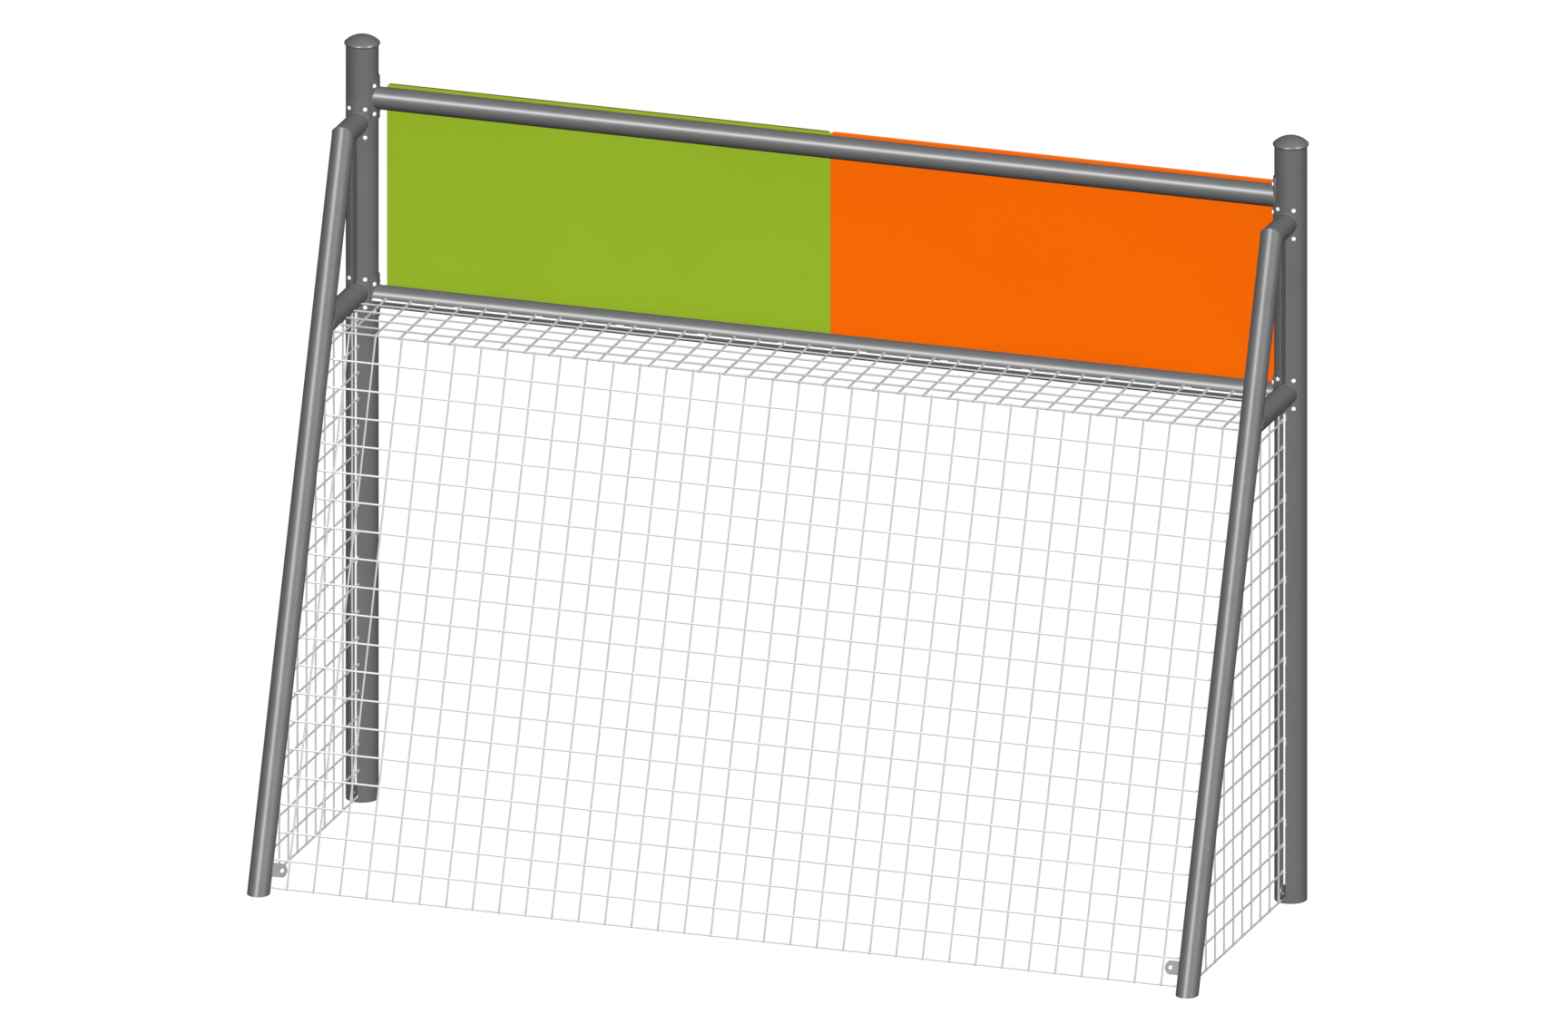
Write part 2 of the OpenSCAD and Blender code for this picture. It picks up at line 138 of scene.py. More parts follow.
class Nodes:
    """A small helper that builds one material's node tree."""

    def __init__(self, name):
        self.mat = bpy.data.materials.new(name)
        self.mat.use_nodes = True
        self.tree = self.mat.node_tree
        self.tree.nodes.clear()
        self.out = self.tree.nodes.new("ShaderNodeOutputMaterial")
        self.bsdf = self.tree.nodes.new("ShaderNodeBsdfPrincipled")
        self.tree.links.new(self.bsdf.outputs[0], self.out.inputs[0])

    def add(self, kind, **values):
        n = self.tree.nodes.new(kind)
        for k, v in values.items():
            setattr(n, k, v)
        return n

    def link(self, a, b):
        self.tree.links.new(a, b)

    def math(self, op, a, b=None, c=None, clamp=False):
        n = self.add("ShaderNodeMath", operation=op, use_clamp=clamp)
        for i, v in enumerate((a, b, c)):
            if v is None:
                continue
            if isinstance(v, (int, float)):
                n.inputs[i].default_value = v
            else:
                self.link(v, n.inputs[i])
        return n.outputs[0]

    def coords(self):
        return self.add("ShaderNodeTexCoord").outputs["Object"]

    def noise(self, scale, detail=3.0, rough=0.55, vector=None, distortion=0.0):
        n = self.add("ShaderNodeTexNoise")
        n.inputs["Scale"].default_value = scale
        n.inputs["Detail"].default_value = detail
        n.inputs["Roughness"].default_value = rough
        n.inputs["Distortion"].default_value = distortion
        self.link(vector if vector is not None else self.coords(), n.inputs["Vector"])
        return n.outputs["Fac"]

    def ramp(self, fac, stops):
        n = self.add("ShaderNodeValToRGB")
        el = n.color_ramp.elements
        while len(el) < len(stops):
            el.new(0.5)
        for e, (p, c) in zip(el, stops):
            e.position = p
            e.color = (*c, 1) if len(c) == 3 else c
        self.link(fac, n.inputs[0])
        return n.outputs[0]

    def mix(self, fac, a, b, blend="MIX"):
        n = self.add("ShaderNodeMix", data_type="RGBA", blend_type=blend)
        for sock, v in ((n.inputs[0], fac), (n.inputs[6], a), (n.inputs[7], b)):
            if isinstance(v, (int, float)):
                sock.default_value = v
            elif isinstance(v, tuple):
                sock.default_value = (*v, 1)
            else:
                self.link(v, sock)
        return n.outputs[2]

    def map(self, v, a, b, c, d):
        n = self.add("ShaderNodeMapRange")
        self.link(v, n.inputs[0])
        for i, x in enumerate((a, b, c, d)):
            n.inputs[i + 1].default_value = x
        return n.outputs[0]

    def bump(self, height, strength, distance, normal=None):
        n = self.add("ShaderNodeBump")
        n.inputs["Strength"].default_value = strength
        n.inputs["Distance"].default_value = distance
        self.link(height, n.inputs["Height"])
        if normal is not None:
            self.link(normal, n.inputs["Normal"])
        return n.outputs[0]

    def shade(self, colour=None, rough=None, normal=None, **fixed):
        for key, v in (("Base Color", colour), ("Roughness", rough), ("Normal", normal)):
            if v is None:
                continue
            if isinstance(v, tuple):
                self.bsdf.inputs[key].default_value = (*v, 1)
            elif isinstance(v, (int, float)):
                self.bsdf.inputs[key].default_value = v
            else:
                self.link(v, self.bsdf.inputs[key])
        for key, v in fixed.items():
            self.bsdf.inputs[key].default_value = v
        return self.mat


def tinted(c, k):
    return tuple(v * k for v in c)


def dusted(n, colour, amount, dust=(0.27, 0.268, 0.262)):
    """A little ground dust on the lowest 300 mm."""
    height = n.add("ShaderNodeSeparateXYZ")
    n.link(n.coords(), height.inputs[0])
    low = n.map(height.outputs[2], 0.0, 0.3, 1.0, 0.0)
    patch = n.map(n.noise(22, 4, 0.6), 0.35, 0.75, 0.2, 1.0)
    fac = n.math("MULTIPLY", n.math("MULTIPLY", low, low), patch)
    return n.mix(n.math("MULTIPLY", fac, amount, clamp=True), colour, dust)


def paint(name, grey, rough, metallic, peel=1.0):
    """Grey metallic powder coat: fine orange peel, faint cloudiness, lighter flakes in the colour and gently varying
    roughness.
    """
    n = Nodes(name)
    cloud = n.noise(5.5, 3, 0.5)
    fleck = n.noise(700, 2, 0.5)
    base = n.mix(n.map(cloud, 0.3, 0.7, 0.0, 1.0), tinted(grey, 0.965), tinted(grey, 1.035))
    base = n.mix(n.math("MULTIPLY", n.map(fleck, 0.55, 0.8, 0.0, 1.0), 0.35), base, tinted(grey, 1.22))
    base = dusted(n, base, 0.10)
    roughness = n.math("ADD", n.map(n.noise(14, 4, 0.6), 0.3, 0.7, -0.02, 0.025), rough)
    orange_peel = n.noise(420, 1.5, 0.4)
    grain = n.noise(1500, 2, 0.5)
    height = n.math("ADD", orange_peel, n.math("MULTIPLY", grain, 0.25))
    return n.shade(base, roughness, n.bump(height, 0.10 * peel, 0.00012), Metallic=metallic,
                   **{"Specular IOR Level": 0.75})


def board(name, colour, top, spread):
    """Solid coloured sheet: fine pebble grain, faint cloudiness, and painted shading on the up-facing top edge in the
    top colour.
    """
    n = Nodes(name)
    cloud = n.noise(2.2, 4, 0.5)
    grain = n.noise(520, 3, 0.55)
    base = n.mix(n.map(cloud, 0.3, 0.7, 0.0, 1.0), tinted(colour, 1 - spread), tinted(colour, 1 + spread))
    base = n.mix(n.math("MULTIPLY", n.map(grain, 0.5, 0.8, 0.0, 1.0), 0.12), base, tinted(colour, 0.86))
    scuff = n.noise(38, 6, 0.7, distortion=1.4)
    base = n.mix(n.math("MULTIPLY", n.map(scuff, 0.66, 0.8, 0.0, 1.0), 0.10), base, tinted(colour, 1.12))
    # up-facing faces take the top colour: painted shading of the board's top edge, standing in for how light falls on
    # it
    top_shade_normal = n.add("ShaderNodeSeparateXYZ")
    n.link(n.add("ShaderNodeNewGeometry").outputs["True Normal"], top_shade_normal.inputs[0])
    base = n.mix(n.map(top_shade_normal.outputs[2], 0.8, 0.95, 0.0, 1.0), base, top)
    roughness = n.map(n.noise(60, 4, 0.6), 0.3, 0.7, 0.56, 0.64)
    return n.shade(base, roughness, n.bump(grain, 0.16, 0.00014), **{"Specular IOR Level": 0.03})


def rope(name, light, dark):
    """Braided cord: the braid runs on the mesh's own along/around coordinates."""
    n = Nodes(name)
    at = n.add("ShaderNodeAttribute", attribute_name="rope_uv", attribute_type="GEOMETRY")
    s = n.add("ShaderNodeSeparateXYZ")
    n.link(at.outputs["Vector"], s.inputs[0])
    along = n.math("MULTIPLY", s.outputs[0], 2 * math.pi / 0.0105)
    around = n.math("MULTIPLY", s.outputs[1], 2 * math.pi * 4)
    a = n.math("SINE", n.math("ADD", along, around))
    b = n.math("SINE", n.math("SUBTRACT", along, around))
    braid = n.math("MULTIPLY_ADD", n.math("MULTIPLY", a, b), 0.5, 0.5)
    fibre = n.noise(1800, 2, 0.6)
    height = n.math("ADD", braid, n.math("MULTIPLY", fibre, 0.35))
    # braid crowns take the lighter colour and its grooves the darker one: painted shade in the braid's grooves
    base = n.mix(n.math("MULTIPLY_ADD", braid, 0.7, 0.25, clamp=True), dark, light)
    base = n.mix(n.math("MULTIPLY", n.map(n.noise(9, 4, 0.6), 0.35, 0.7, 0.0, 1.0), 0.12), base, tinted(dark, 0.9))
    # the colour is multiplied by each corner's factor: random tone and painted light and shade by rope family
    base = n.mix(1.0, base, s.outputs[2], "MULTIPLY")
    base = dusted(n, base, 0.08, (0.34, 0.335, 0.32))
    return n.shade(base, 0.82, n.bump(height, 0.55, 0.0005), **{"Specular IOR Level": 0.2, "Sheen Weight": 0.15})


def white_coat(name, colour, rough, peel=1.0):
    n = Nodes(name)
    cloud = n.noise(30, 3, 0.5)
    base = n.mix(n.map(cloud, 0.3, 0.7, 0.0, 1.0), tinted(colour, 0.95), tinted(colour, 1.0))
    base = n.mix(n.math("MULTIPLY", n.map(n.noise(160, 5, 0.7), 0.62, 0.8, 0.0, 1.0), 0.12), base, tinted(colour, 0.8))
    roughness = n.map(n.noise(90, 3, 0.6), 0.3, 0.7, rough - 0.03, rough + 0.03)
    return n.shade(base, roughness, n.bump(n.noise(650, 2, 0.5), 0.12 * peel, 0.0001))


def metal(name, colour, rough, scale, spread=0.08, metallic=1.0):
    """Bare plated metal: crystalline mottling and fine scratches. Dull, weathered zinc is less metallic."""
    n = Nodes(name)
    spangle = n.add("ShaderNodeTexVoronoi")
    spangle.inputs["Scale"].default_value = scale
    n.link(n.coords(), spangle.inputs["Vector"])
    cell = n.add("ShaderNodeSeparateColor")
    n.link(spangle.outputs["Color"], cell.inputs[0])
    base = n.mix(cell.outputs[0], tinted(colour, 1 - spread), tinted(colour, 1 + spread))
    roughness = n.map(cell.outputs[1], 0.0, 1.0, rough - 0.05, rough + 0.06)
    return n.shade(base, roughness, n.bump(n.noise(900, 3, 0.6), 0.12, 0.0001), Metallic=metallic)


GREY = (0.186, 0.186, 0.187)
STEEL = paint("frame_paint", GREY, 0.375, 0.465)
WELDS = paint("frame_paint_welds", GREY, 0.62, 0.30, 1.6)       # the coat lies rougher on the ripples
# each board's second colour is painted shading for its up-facing top edge
GREEN = board("board_green", (0.2476, 0.3733, 0.0185), (0.085, 0.115, 0.012), 0.02)
ORANGE = board("board_orange", (0.770, 0.115, 0.0003), (0.66, 0.16, 0.02), 0.012)
# each rope's first colour is for its braid crowns, the second darker one is painted shade for its grooves
ROPE = rope("net_rope", (0.46, 0.46, 0.465), (0.34, 0.34, 0.345))
TWINE = rope("net_twine", (0.40, 0.40, 0.405), (0.28, 0.28, 0.285))
RODS = white_coat("rod_white", (0.78, 0.78, 0.78), 0.42)
PLASTIC = white_coat("white_plastic", (0.9, 0.9, 0.9), 0.28, 0.4)
ZINC = metal("zinc_steel", (0.55, 0.56, 0.58), 0.34, 900)
WIRE = metal("eye_wire", (0.46, 0.46, 0.47), 0.45, 700, metallic=0.35)

# ---------- mesh building ----------


def new_piece(name, verts, faces, material, replaced=(), corner_uv=None, smooth=True):
    mesh = bpy.data.meshes.new(name)
    mesh.from_pydata([tuple(v) for v in verts], [], faces)
    mesh.polygons.foreach_set("use_smooth", [smooth] * len(mesh.polygons))
    if corner_uv is not None:
        at = mesh.attributes.new("rope_uv", "FLOAT_VECTOR", "CORNER")
        at.data.foreach_set("vector", np.asarray(corner_uv, np.float32).ravel())
    mesh.update()
    mesh.materials.append(material)
    o = bpy.data.objects.new(name, mesh)
    bpy.context.scene.collection.objects.link(o)
    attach(o, "root")
    if replaced:
        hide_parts(*replaced)
    return o


class Mesh:
    """Collects tubes and lathed shapes into one mesh, with the along/around coordinates of each corner."""

    def __init__(self):
        self.v, self.f, self.uv = [], [], []
        self.tone = 1.0              # the next tubes' colour factor: random tone and painted light and shade by rope family

    def rings(self, rings, along, closed=False, caps=True):
        """rings: equal lists of points, each a closed loop; along: each ring's distance along the tube."""
        k, n = len(rings[0]), len(rings)
        base = len(self.v)
        for r in rings:
            self.v.extend(r)
        last = n if closed else n - 1
        step = along[-1] - along[-2] if n > 1 else 0
        for i in range(last):
            j = (i + 1) % n
            u0, u1 = along[i], along[j] if j else along[i] + step
            for a in range(k):
                b = (a + 1) % k
                self.f.append((base + i * k + a, base + i * k + b, base + j * k + b, base + j * k + a))
                self.uv.extend(((u0, a / k, self.tone), (u0, (a + 1) / k, self.tone), (u1, (a + 1) / k, self.tone), (u1, a / k, self.tone)))
        if caps and not closed:
            for i, flip in ((0, True), (n - 1, False)):
                order = list(range(k))
                if flip:
                    order.reverse()
                self.f.append(tuple(base + i * k + a for a in order))
                self.uv.extend((along[i], a / k, self.tone) for a in order)

    def tube(self, path, radius, sides=8, closed=False, side_axis=None, radii=None, flat=None, dome=0.0):
        """A round tube along path. flat: per point (radius along side_axis, radius across). dome rounds the ends."""
        n = len(path)
        pts = [Vector(p) for p in path]
        rings, along, total = [], [], 0.0
        prev = None
        for i, p in enumerate(pts):
            a = pts[(i - 1) % n] if closed or i else p
            b = pts[(i + 1) % n] if closed or i < n - 1 else p
            t = (b - a).normalized()
            if side_axis is not None:
                e1 = (side_axis - t * side_axis.dot(t)).normalized()
            else:
                ref = prev if prev is not None else (Z if abs(t.z) < 0.9 else X)
                e1 = (ref - t * ref.dot(t)).normalized()
                prev = e1
            e2 = t.cross(e1)
            if i:
                total += (p - pts[i - 1]).length
            along.append(total)
            r1 = r2 = radii[i] if radii is not None else radius
            if flat is not None:
                r1, r2 = flat[i]
            rings.append([p + e1 * (r1 * math.cos(2 * math.pi * k / sides)) + e2 * (r2 * math.sin(2 * math.pi * k / sides)) for k in range(sides)])
        if dome and not closed:
            for end in (0, n - 1):
                inner = 1 if end == 0 else n - 2
                t = (pts[end] - pts[inner]).normalized()
                extra = [([pts[end] + t * (dome * math.sin(w)) + (q - pts[end]) * math.cos(w) for q in rings[end if end == 0 else -1]],
                          math.sin(w) * dome) for w in (math.radians(38), math.radians(68))]
                if end == 0:
                    for r, d in extra:
                        rings.insert(0, r)
                        along.insert(0, -d)
                else:
                    for r, d in extra:
                        rings.append(r)
                        along.append(total + d)
        self.rings(rings, along, closed=closed)

    def lathe(self, origin, axis, profile, sides=16, ref=None):
        """profile: (distance along axis, radius) points of an open outline; ends are closed."""
        axis = Vector(axis).normalized()
        ref = ref or (Z if abs(axis.z) < 0.9 else X)
        e1 = (ref - axis * ref.dot(axis)).normalized()
        e2 = axis.cross(e1)
        o = Vector(origin)
        rings = [[o + axis * d + e1 * (r * math.cos(2 * math.pi * k / sides)) + e2 * (r * math.sin(2 * math.pi * k / sides)) for k in range(sides)] for d, r in profile]
        self.rings(rings, [d for d, _ in profile])

    def make(self, name, material, slot, replaced=()):
        o = new_piece(name, self.v, self.f, material, replaced, self.uv)
        return o


# ---------- CAD nodes that stay: smooth rounded edges and new materials ----------


def dress(name, material, width=0.0, angle=34, segments=2):
    o = nodes[name]
    o.data.materials.clear()
    o.data.materials.append(material)
    o.data.polygons.foreach_set("material_index", [0] * len(o.data.polygons))
    if not width:                    # its own normals already suit it
        return o
    bpy.context.view_layer.objects.active = o
    if o.data.has_custom_normals:
        with bpy.context.temp_override(object=o, active_object=o, mesh=o.data):
            bpy.ops.mesh.customdata_custom_splitnormals_clear()
    o.data.polygons.foreach_set("use_smooth", [True] * len(o.data.polygons))
    o.data.update()
    weld = o.modifiers.new("weld", "WELD")
    weld.merge_threshold = 0.00001
    flat = o.modifiers.new("flat", "DECIMATE")
    flat.decimate_type = "DISSOLVE"
    flat.angle_limit = math.radians(0.6)
    bevel = o.modifiers.new("edges", "BEVEL")
    bevel.width = width
    bevel.segments = segments
    bevel.limit_method = "ANGLE"
    bevel.angle_limit = math.radians(angle)
    bevel.use_clamp_overlap = False
    bevel.harden_normals = True
    bevel.miter_outer = "MITER_ARC"
    return o


SIDES = (("left", -1), ("right", 1))
for side, _ in SIDES:
    dress(f"{side}_post", STEEL, 0.0006)
    dress(f"{side}_post_cap", STEEL)
    dress(f"{side}_strut", STEEL, 0.0005)
    for level in ("upper", "lower"):
        dress(f"{level}_{side}_stub", STEEL)
        dress(f"{level}_{side}_stub_saddle", STEEL, 0.0005)
        dress(f"{level}_{side}_bar_saddle", STEEL, 0.0005)
    dress(f"{side}_web_plate", STEEL, 0.0006)
    dress(f"{side}_strut_lug", STEEL, 0.0009)
    dress(f"{side}_post_lug", STEEL, 0.0009)
    dress(f"{side}_net_rod", RODS, 0.0007)
    dress(f"{side}_rod_holders", RODS, 0.0006)
dress("upper_crossbar", STEEL)
dress("lower_crossbar", STEEL)
dress("roof_net_rod", RODS, 0.0007)
dress("roof_rod_holders", RODS, 0.0006)
dress("saddle_bolts", ZINC, 0.0003)
dress("saddle_bolt_covers", PLASTIC)
dress("saddle_rivet_nuts", ZINC, 0.0003)
dress("board_bolts", ZINC, 0.0003)
dress("board_washers", ZINC, 0.0003)
dress("board_rivet_nuts", ZINC, 0.0003)
for name, material in (("green_board", GREEN), ("orange_board", ORANGE)):
    dress(name, material, 0.0012, segments=3).visible_diffuse = False     # no colour cast from the boards on the steel

# ---------- weld beads ----------


def bead(m, path, radius, closed=True, sides=7, step=0.0028):
    """A rippled fillet weld along a dense path."""
    pts = [Vector(p) for p in path]
    if closed:
        pts.append(pts[0])
    length = [0.0]
    for a, b in zip(pts, pts[1:]):
        length.append(length[-1] + (b - a).length)
    n = max(6, int(length[-1] / step))
    out, radii, j = [], [], 0
    for i in range(n if closed else n + 1):
        d = length[-1] * i / n
        while j < len(length) - 2 and length[j + 1] < d:
            j += 1
        f = (d - length[j]) / max(length[j + 1] - length[j], 1e-9)
        out.append(pts[j].lerp(pts[j + 1], f))
        radii.append(radius * (1 + 0.09 * (1 if i % 2 else -1) + rng.uniform(-0.05, 0.05)))
    m.tube(out, radius, sides=sides, closed=closed, radii=radii, dome=0 if closed else radius * 0.7)


for side, s in SIDES:
    m = Mesh()
    circle = [2 * math.pi * k / 96 for k in range(96)]
    for zc in (LOW_BAR, UP_BAR):      # crossbar ends on their saddle plates
        m_bar = [row(HALF - math.sqrt(SR ** 2 - (BR * math.cos(t)) ** 2) - 0.0006, (BR + 0.0006) * math.cos(t), zc + (BR + 0.0006) * math.sin(t), s) for t in circle]
        bead(m, m_bar, 0.0014)
    for zc in (LOW_STUB, UP_STUB):    # stubs on their saddle plates
        path = [row(HALF + (BR + 0.0006) * math.cos(t), -math.sqrt(SR ** 2 - (BR * math.cos(t)) ** 2) - 0.0006, zc + (BR + 0.0006) * math.sin(t), s) for t in circle]
        bead(m, path, 0.0012)
    # lower stub on the strut
    path = []
    for t in circle:
        z = LOW_STUB + (BR + 0.0005) * math.sin(t)
        y = -STRUT_BACK + (z * math.sin(LEAN) + (BR + 0.0005) * abs(math.sin(t))) / math.cos(LEAN)
        path.append(row(HALF + (BR + 0.0005) * math.cos(t), y, z, s))
    bead(m, path, 0.0015)
    # mitred elbow
    path = [row(HALF + BR * math.cos(t), ELBOW_Y - BR * math.sin(t) / math.tan(MITRE), UP_STUB + BR * math.sin(t), s) for t in circle]
    bead(m, path, 0.0013, sides=6)
    # web plate, both faces
    hi, lo = UP_STUB - 0.04438, LOW_STUB + 0.04438
    for f in (-1, 1):
        x = HALF + f * (WEB_T / 2 + 0.0009)
        bead(m, [row(x, WEB_Y + 0.001, lo + 0.0006, s), row(x, -SR - 0.002, lo + 0.0006, s)], 0.0017, closed=False, sides=6)
        bead(m, [row(x, WEB_Y + 0.001, hi - 0.0006, s), row(x, -SR - 0.002, hi - 0.0006, s)], 0.0017, closed=False, sides=6)
        bead(m, [row(x, -PR - 0.0004, LOW_STUB + 0.086, s), row(x, -PR - 0.0004, UP_STUB - 0.086, s)], 0.0017, closed=False, sides=6)
    # foot lugs
    zs = [0.0300 + 0.052 * k / 12 for k in range(13)]
    loop = [row(HALF + 0.0036, -PR + 0.0001, z, s) for z in zs] + [row(HALF - 0.0036, -PR + 0.0001, z, s) for z in reversed(zs)]
    bead(m, loop, 0.0017, sides=6)
    foot = Vector((0, -1.187, 0.090))
    ups = [-0.026 + 0.052 * k / 12 for k in range(13)]
    across = math.sqrt(BR ** 2 - 0.0041 ** 2)
    loop = []
    for f, seq in ((1, ups), (-1, list(reversed(ups)))):
        for h in seq:
            # on the strut's surface, f * 4.1 mm to either side of the lug's middle plane
            axis_y = -STRUT_BACK
            p = foot + UP_STRUT * h + OUT_BACK * (f * 0.0041)
            q = Vector((0, p.y - axis_y, p.z))
            off = q - UP_STRUT * q.dot(UP_STRUT)
            x = HALF - math.sqrt(max(BR ** 2 - off.length ** 2, 0)) - 0.0004
            loop.append(row(x, p.y, p.z, s))
    bead(m, loop, 0.0017, sides=6)
    m.make(f"{side}_weld_beads", WELDS, "frame_paint")

# ---------- nets ----------

AMP = 0.0003        # how far a rope leaves its net's middle plane where it passes through another, or opens for it
# per rope family, ropes are painted lighter or darker for how light falls on ropes of that direction: painted light
# and shade
FAMILY_LIGHT_SHADE = {"back_rows": 1.56, "edge": 1.14, "back_cols": 1.06, "depth": 0.80, "lines": 1.00, "side_cols": 1.04, "side_rows": 0.82}


# each rope's family factor of painted light and shade, times a small random tone
def toned(m, family):
    m.tone = FAMILY_LIGHT_SHADE[family] * rng.uniform(0.97, 1.03)


def woven(m, start, direction, length, normal, crossings, sign0, home0=0.0, home1=0.0, step=0.018, weave=True, dome=0.0, fat=1.0):
    """A taut rope from start along direction. crossings: distances of the ropes it meets, where it opens its strands
    for them and passes through theirs by turns, sign0 says which first; home0, home1: its offset along normal at its ends."""
    direction, normal = direction.normalized(), normal.normalized()
    stations = {0.0, length}
    marks = sorted(c for c in crossings if -1e-6 <= c <= length + 1e-6)
    for c in marks:
        for d in (-0.006, 0, 0.006):
            if 0 < c + d < length:
                stations.add(round(c + d, 6))
    edge = [0.0] + marks + [length]
    for a, b in zip(edge, edge[1:]):
        k = max(1, int((b - a) / step))
        for i in range(1, k):
            stations.add(round(a + (b - a) * i / k, 6))
    stations = sorted(stations)
    clean = [stations[0]]
    for d in stations[1:]:
        if d - clean[-1] > 0.0025:
            clean.append(d)
    if length - clean[-1] > 1e-6:
        clean[-1] = length
    keys = [(0.0, home0)]
    if home0:
        keys.append((0.05, 0.0))
    if weave:
        keys += [(c, AMP * sign0 * (-1) ** i) for i, c in enumerate(marks)]
    if home1:
        keys.append((length - 0.05, 0.0))
    keys.append((length, home1))
    path, flat, j = [], [], 0
    for d in clean:
        while j < len(keys) - 2 and keys[j + 1][0] < d:
            j += 1
        (d0, a0), (d1, a1) = keys[j], keys[j + 1]
        t = min(max((d - d0) / max(d1 - d0, 1e-9), 0), 1)
        off = a0 + (a1 - a0) * (0.5 - 0.5 * math.cos(math.pi * t))
        near, i = min(((abs(d - c), i) for i, c in enumerate(marks)), default=(1, 0))
        meet = max(0.0, 1 - near / 0.012) if weave else 0.0
        opens = sign0 * (-1) ** i > 0
        r = ROPE_LOOK * fat
        path.append(start + direction * d + normal * off)
        flat.append((r * (1 + 0.16 * meet), r * (1 + 0.04 * meet)) if opens else (r * (1 - 0.16 * meet), r * (1 - 0.10 * meet)))
    m.tube(path, ROPE_LOOK, sides=8, side_axis=normal, flat=flat, dome=dome)


def whipping(m, end, direction, family):
    """Twine wound tightly round a rope's end, over the link that it is spliced on; direction points off the end."""
    d = Vector(direction).normalized()
    # the twine takes its rope family's painted light and shade, lightened
    m.tone = FAMILY_LIGHT_SHADE[family] * 1.16
    turns, pitch = 9, 0.0022
    prof = [(-turns * pitch - 0.0004, 0.0037)]
    for k in range(turns):
        a = -(turns - k) * pitch
        prof += [(a + 0.0002, 0.0041), (a + 0.0007, 0.0046), (a + 0.0015, 0.0046), (a + 0.0020, 0.0041)]
    prof += [(0.0001, 0.0030)]
    m.lathe(end, d, prof, sides=10)


def splice(m, at, off, edge, family):
    """A rope's end opened round the border rope and whipped. at: middle of the border rope, off: along the rope's
    own way off it, edge: along the border rope."""
    off, edge = off.normalized(), edge.normalized()
    third = edge.cross(off)
    # the twine takes its rope family's painted light and shade, lightened
    m.tone = FAMILY_LIGHT_SHADE[family] * 1.16
    for d in (-0.0017, 0.0017):
        ring = [at + edge * d + off * (0.0048 * math.cos(a)) + third * (0.0048 * math.sin(a)) for a in [2 * math.pi * k / 14 for k in range(14)]]
        m.tube(ring, 0.0013, sides=6, closed=True, side_axis=edge)
    whipping(m, at + off * 0.0058, -off, family)


def eye(m, centre, normal, inward):
    """Wire eye welded on a tube, and the wire link that joins it to the rope's end. inward points to the tube."""
    normal, inward = normal.normalized(), inward.normalized()
    side = normal.cross(inward)
    ring = []
    for k in range(21):
        a = math.radians(-148 + 296 * k / 20)
        ring.append(centre - inward * (EYE_R * math.cos(a)) + side * (EYE_R * math.sin(a)))
    m.tube(ring, EYE_W, sides=7, side_axis=normal)
    for k in (0, -1):                    # small welds where its two legs meet the tube
        p = ring[k] + inward * 0.0008
        m.lathe(p - inward * 0.0012, inward, [(-0.0008, 0.0012), (0.0, 0.0023), (0.0012, 0.0028), (0.0022, 0.0028)], sides=8)
    wire = centre - inward * EYE_R
    loop = [wire + inward * (0.0031 * math.cos(a)) + normal * (0.0031 * math.sin(a)) for a in [2 * math.pi * k / 14 for k in range(14)]]
    m.tube(loop, 0.0012, sides=5, closed=True, side_axis=side)


# back net
m, tw = Mesh(), Mesh()
hardware = {"left": Mesh(), "right": Mesh()}       # eyes and links, per side
stub_hardware = {"left": Mesh(), "right": Mesh()}
post_hardware = {"left": Mesh(), "right": Mesh()}
sleeves = {"back": Mesh(), "roof": Mesh(), "left": Mesh(), "right": Mesh()}


def back_point(x, z, out):
    return row(x, strut_y(z) + NET_IN, z) + OUT_BACK * out


eye_x = HALF - math.sqrt(BR ** 2 - (NET_IN * math.cos(LEAN)) ** 2) - EYE_OUT
row_half = eye_x - EYE_END
columns = [(k + 0.5) * BACK_PITCH for k in range(-17, 17)]
for j in range(ROWS_BACK + 1):
    z = NET_LOW + 0.0008 + j * ROW_PITCH
    start = back_point(-row_half, z, 0)
    edge = j in (0, ROWS_BACK)
    toned(m, "edge" if j == ROWS_BACK else "back_rows")
    woven(m, start, X, 2 * row_half, OUT_BACK, [x + row_half for x in columns], 1 if j % 2 else -1, weave=not edge)
    for side, s in SIDES:
        whipping(sleeves["back"], back_point(s * row_half, z, 0), X * s, "edge" if j == ROWS_BACK else "back_rows")
        eye(hardware[side], back_point(s * eye_x, z, 0), UP_STRUT, X * s)
slope = ROWS_BACK * MESH
for i, x in enumerate(columns):
    z0 = NET_LOW + 0.0008
    start = back_point(x, z0, 0)
    toned(m, "back_cols")
    woven(m, start, UP_STRUT, slope, OUT_BACK, [MESH * j for j in range(1, ROWS_BACK)], -1 if i % 2 else 1)
    for d, way in ((0.0, 1), (slope, -1)):
        splice(tw, start + UP_STRUT * d, UP_STRUT * way, X, "back_cols")
m.make("back_net_ropes", ROPE, "net_rope", ("back_net",))

# roof net: its ropes fore and aft are spliced round the top rope of the back net and pass over the roof rod
m = Mesh()
top_z = NET_LOW + 0.0008 + ROWS_BACK * ROW_PITCH
edge_y = strut_y(top_z) + NET_IN         # the top rope of the back net
roof_front = -0.050
ROOF_MID = ROOF_Z - LAY + 0.0012
depth_x = [(k + 0.5) * ROOF_PITCH for k in range(-18, 18)]
line_half = HALF - math.sqrt(BR ** 2 - (LOW_STUB - ROOF_MID) ** 2) - EYE_OUT - EYE_END
for i, x in enumerate(depth_x):
    toned(m, "depth")
    woven(m, row(x, edge_y, ROOF_MID), Y, roof_front - edge_y, Z, [y + 0.0015 - edge_y for y in ROOF_LINES], 1 if i % 2 else -1,
          top_z - ROOF_MID, ROOF_Z - ROOF_MID, dome=0.0028, fat=1.12)
    splice(tw, row(x, edge_y, top_z), Y, X, "depth")
